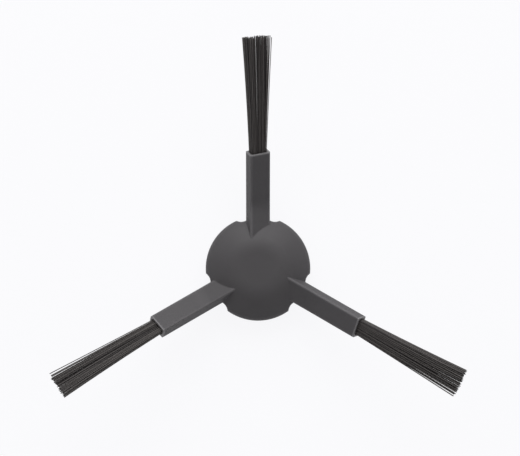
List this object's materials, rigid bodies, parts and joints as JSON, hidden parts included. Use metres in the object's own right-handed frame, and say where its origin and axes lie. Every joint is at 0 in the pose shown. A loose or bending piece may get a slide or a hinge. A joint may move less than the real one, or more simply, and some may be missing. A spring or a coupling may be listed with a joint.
{
  "type": "robot vacuum side brush",
  "caption": "Side brush for a robot vacuum: a domed plastic hub with raised, canted arms that each hold a flared tuft of nylon bristles, driven by a keyed blind bore in its back.",
  "frame": {"origin": "on the drive axis, in the plane of the open back rim", "axes": "+Z along the drive axis towards the domed side that faces the floor in use, +Y along one arm"},
  "size_m": [0.1369, 0.1198, 0.0404],
  "materials": {
    "moulded_plastic": "fine moulded matte",
    "bristle_nylon": "extruded satin"
  },
  "bodies": {
    "root": {"brush_body": "moulded_plastic", "bristle_tuft_1": "bristle_nylon", "bristle_tuft_2": "bristle_nylon", "bristle_tuft_3": "bristle_nylon"}
  },
  "joints": []
}
